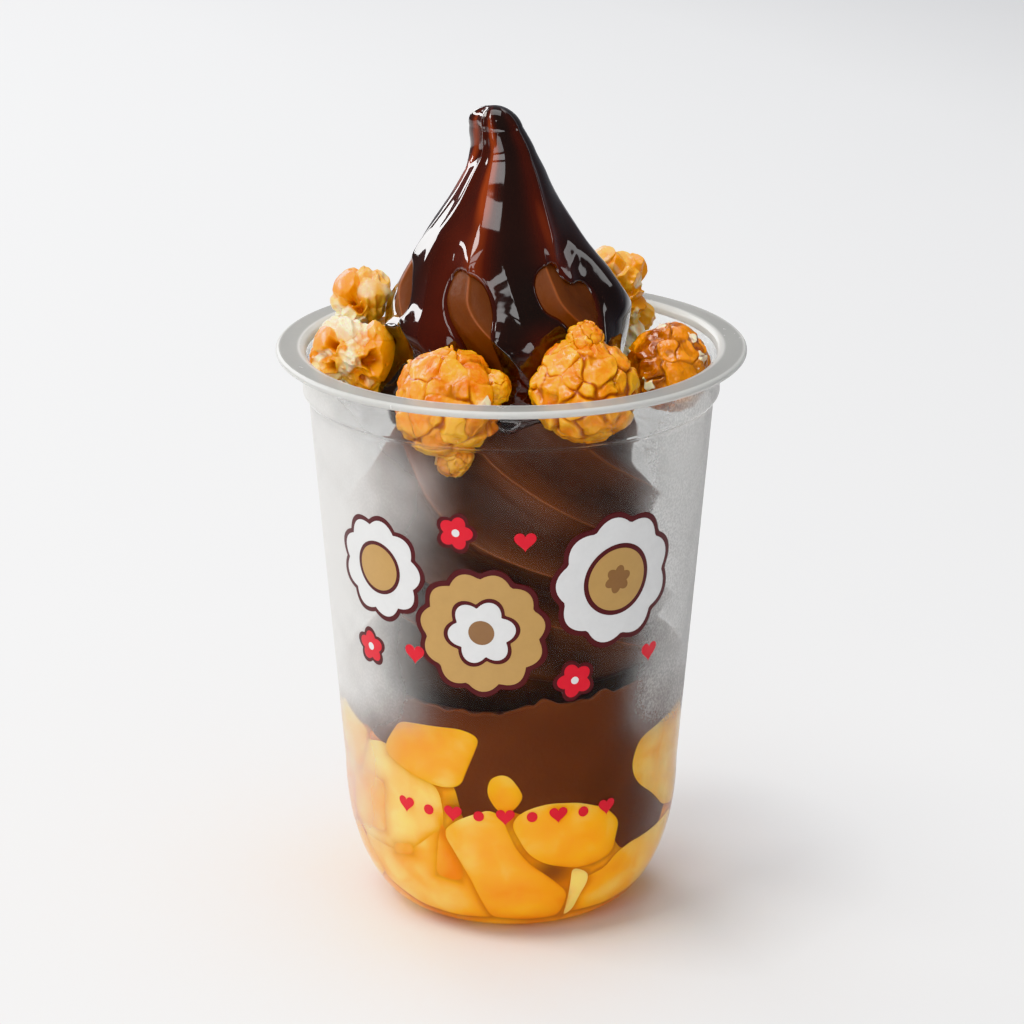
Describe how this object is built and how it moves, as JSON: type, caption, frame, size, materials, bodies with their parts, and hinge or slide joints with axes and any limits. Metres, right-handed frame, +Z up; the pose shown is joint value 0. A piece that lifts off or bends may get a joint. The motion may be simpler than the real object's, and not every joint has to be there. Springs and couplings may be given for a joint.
{
  "type": "chocolate sundae",
  "caption": "Chocolate soft ice cream over diced mango in a clear cup, its tall swirl coated with chocolate sauce and ringed with caramel popcorn.",
  "frame": {"origin": "centre of the cup's foot, on the surface that it stands on", "axes": "+Z up along the cup's axis, -Y towards the side that the picture shows"},
  "size_m": [0.095, 0.0948, 0.167],
  "materials": {
    "clear_cup": "clear thin plastic with a slight milky haze",
    "mango": "moist ripe mango",
    "ice_cream": "smooth soft chocolate ice cream",
    "sauce": "wet glossy dark chocolate sauce",
    "caramel_popcorn": "glazed caramel",
    "pale_popcorn": "pale popcorn with caramel on its edges"
  },
  "bodies": {
    "root": {"cup": "clear_cup", "mango_dice": "mango", "chocolate_ice_cream": "ice_cream", "chocolate_sauce": "sauce", "popcorn_1": "caramel_popcorn", "popcorn_2": "caramel_popcorn", "popcorn_3": "caramel_popcorn", "popcorn_4": "pale_popcorn", "popcorn_5": "pale_popcorn", "popcorn_6": "pale_popcorn", "popcorn_7": "caramel_popcorn"}
  },
  "joints": []
}
